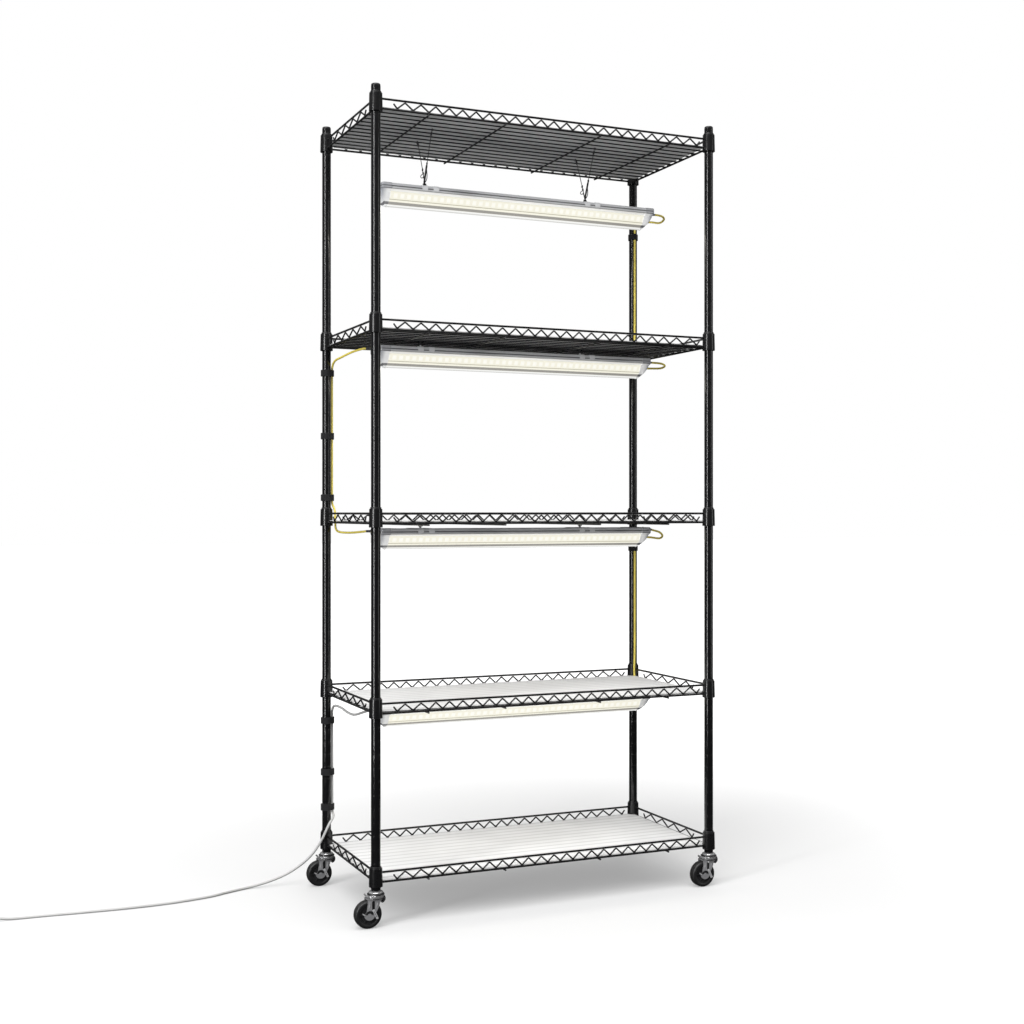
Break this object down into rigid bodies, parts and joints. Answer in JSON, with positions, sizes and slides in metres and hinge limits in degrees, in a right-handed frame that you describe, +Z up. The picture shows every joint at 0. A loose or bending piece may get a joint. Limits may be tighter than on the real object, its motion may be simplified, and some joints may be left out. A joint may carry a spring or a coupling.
{
  "type": "plant stand with grow lights",
  "caption": "Tall wire-shelf plant stand on braked swivel casters, with grow light bars hung under its shelves, link cables, and a power cord with a timer switch.",
  "frame": {"origin": "on the floor, under the middle of the rack with its casters", "axes": "+X to the right along the shelves, +Y to the rear, +Z up"},
  "size_m": [1.5821, 0.4107, 1.576],
  "materials": {
    "black_coat": "glossy black epoxy coat",
    "zinc": "bright zinc plate",
    "black_rubber": "satin tread",
    "grey_plastic": "moulded lever",
    "light_grey": "satin light grey",
    "warm_diffuser": "translucent cream diffuser",
    "clear_liner": "translucent sheet",
    "black_wire": "black coated wire",
    "black_strap": "hook and loop strap",
    "yellow_cable": "satin yellow jacket",
    "white_cord": "satin white jacket",
    "white_plastic": "moulded white",
    "white_button": "moulded white button"
  },
  "bodies": {
    "rack": {"post_front_left": "black_coat", "post_front_right": "black_coat", "post_rear_left": "black_coat", "post_rear_right": "black_coat", "shelf_1": "black_coat", "shelf_2": "black_coat", "shelf_3": "black_coat", "shelf_4": "black_coat", "shelf_5": "black_coat", "shelf_liner_1": "clear_liner", "shelf_liner_2": "clear_liner", "shelf_liner_3": "clear_liner", "shelf_liner_4": "clear_liner", "shelf_liner_5": "clear_liner", "hanger_1_left": "black_wire", "hanger_1_right": "black_wire", "hanger_2_left": "black_wire", "hanger_2_right": "black_wire", "hanger_3_left": "black_wire", "hanger_3_right": "black_wire", "hanger_4_left": "black_wire", "hanger_4_right": "black_wire", "link_cable_1_2": "yellow_cable", "link_cable_2_3": "yellow_cable", "link_cable_3_4": "yellow_cable", "cable_strap_1": "black_strap", "cable_strap_2": "black_strap", "cable_strap_3": "black_strap", "cable_strap_4": "black_strap", "cable_strap_5": "black_strap", "cable_strap_6": "black_strap", "cable_strap_7": "black_strap", "cable_strap_8": "black_strap", "power_cord": "white_cord", "cord_coil": "white_cord", "controller_body": "white_plastic", "plug": "white_plastic"},
    "caster_front_left": {"caster_fork_front_left": "zinc"},
    "wheel_front_left": {"caster_wheel_front_left": "black_rubber"},
    "brake_front_left": {"caster_brake_front_left": "grey_plastic"},
    "caster_front_right": {"caster_fork_front_right": "zinc"},
    "wheel_front_right": {"caster_wheel_front_right": "black_rubber"},
    "brake_front_right": {"caster_brake_front_right": "grey_plastic"},
    "caster_rear_left": {"caster_fork_rear_left": "zinc"},
    "wheel_rear_left": {"caster_wheel_rear_left": "black_rubber"},
    "brake_rear_left": {"caster_brake_rear_left": "grey_plastic"},
    "caster_rear_right": {"caster_fork_rear_right": "zinc"},
    "wheel_rear_right": {"caster_wheel_rear_right": "black_rubber"},
    "brake_rear_right": {"caster_brake_rear_right": "grey_plastic"},
    "light_1": {"light_housing_1": "light_grey", "light_diffuser_1": "warm_diffuser"},
    "light_2": {"light_housing_2": "light_grey", "light_diffuser_2": "warm_diffuser"},
    "light_3": {"light_housing_3": "light_grey", "light_diffuser_3": "warm_diffuser"},
    "light_4": {"light_housing_4": "light_grey", "light_diffuser_4": "warm_diffuser"},
    "timer_button": {"timer_button": "white_button"},
    "power_button": {"power_button": "white_button"}
  },
  "joints": [
    {"name": "swivel_front_left", "type": "hinge", "parent": "rack", "child": "caster_front_left", "pos_m": [-0.34975, -0.1625, 0.06], "axis": [0, 0, 1], "continuous": true},
    {"name": "wheel_spin_front_left", "type": "hinge", "parent": "caster_front_left", "child": "wheel_front_left", "pos_m": [-0.36575, -0.1625, 0.026], "axis": [0, 1, 0], "continuous": true},
    {"name": "brake_lever_front_left", "type": "hinge", "parent": "caster_front_left", "child": "brake_front_left", "pos_m": [-0.36575, -0.1625, 0.026], "axis": [0, 1, 0], "range_deg": [-22, 0]},
    {"name": "swivel_front_right", "type": "hinge", "parent": "rack", "child": "caster_front_right", "pos_m": [0.37525, -0.1625, 0.06], "axis": [0, 0, 1], "continuous": true},
    {"name": "wheel_spin_front_right", "type": "hinge", "parent": "caster_front_right", "child": "wheel_front_right", "pos_m": [0.35925, -0.1625, 0.026], "axis": [0, 1, 0], "continuous": true},
    {"name": "brake_lever_front_right", "type": "hinge", "parent": "caster_front_right", "child": "brake_front_right", "pos_m": [0.35925, -0.1625, 0.026], "axis": [0, 1, 0], "range_deg": [-22, 0]},
    {"name": "swivel_rear_left", "type": "hinge", "parent": "rack", "child": "caster_rear_left", "pos_m": [-0.34975, 0.1625, 0.06], "axis": [0, 0, 1], "continuous": true},
    {"name": "wheel_spin_rear_left", "type": "hinge", "parent": "caster_rear_left", "child": "wheel_rear_left", "pos_m": [-0.36575, 0.1625, 0.026], "axis": [0, 1, 0], "continuous": true},
    {"name": "brake_lever_rear_left", "type": "hinge", "parent": "caster_rear_left", "child": "brake_rear_left", "pos_m": [-0.36575, 0.1625, 0.026], "axis": [0, 1, 0], "range_deg": [-22, 0]},
    {"name": "swivel_rear_right", "type": "hinge", "parent": "rack", "child": "caster_rear_right", "pos_m": [0.37525, 0.1625, 0.06], "axis": [0, 0, 1], "continuous": true},
    {"name": "wheel_spin_rear_right", "type": "hinge", "parent": "caster_rear_right", "child": "wheel_rear_right", "pos_m": [0.35925, 0.1625, 0.026], "axis": [0, 1, 0], "continuous": true},
    {"name": "brake_lever_rear_right", "type": "hinge", "parent": "caster_rear_right", "child": "brake_rear_right", "pos_m": [0.35925, 0.1625, 0.026], "axis": [0, 1, 0], "range_deg": [-22, 0]},
    {"name": "light_rock_1", "type": "hinge", "parent": "rack", "child": "light_1", "pos_m": [0.00675, -0.0125, 1.4276], "axis": [1, 0, 0], "range_deg": [-8, 8]},
    {"name": "light_rock_2", "type": "hinge", "parent": "rack", "child": "light_2", "pos_m": [0.01275, 0.0125, 1.1106], "axis": [1, 0, 0], "range_deg": [-8, 8]},
    {"name": "light_rock_3", "type": "hinge", "parent": "rack", "child": "light_3", "pos_m": [0.01275, 0.0125, 0.7466], "axis": [1, 0, 0], "range_deg": [-8, 8]},
    {"name": "light_rock_4", "type": "hinge", "parent": "rack", "child": "light_4", "pos_m": [0.01275, 0.0125, 0.3906], "axis": [1, 0, 0], "range_deg": [-8, 8]},
    {"name": "timer_button_press", "type": "slide", "parent": "rack", "child": "timer_button", "axis": [0, 0, 1], "range_m": [-0.0008, 0], "stiffness_N_per_m": 400},
    {"name": "power_button_press", "type": "slide", "parent": "rack", "child": "power_button", "axis": [0, 0, 1], "range_m": [-0.0008, 0], "stiffness_N_per_m": 400}
  ]
}
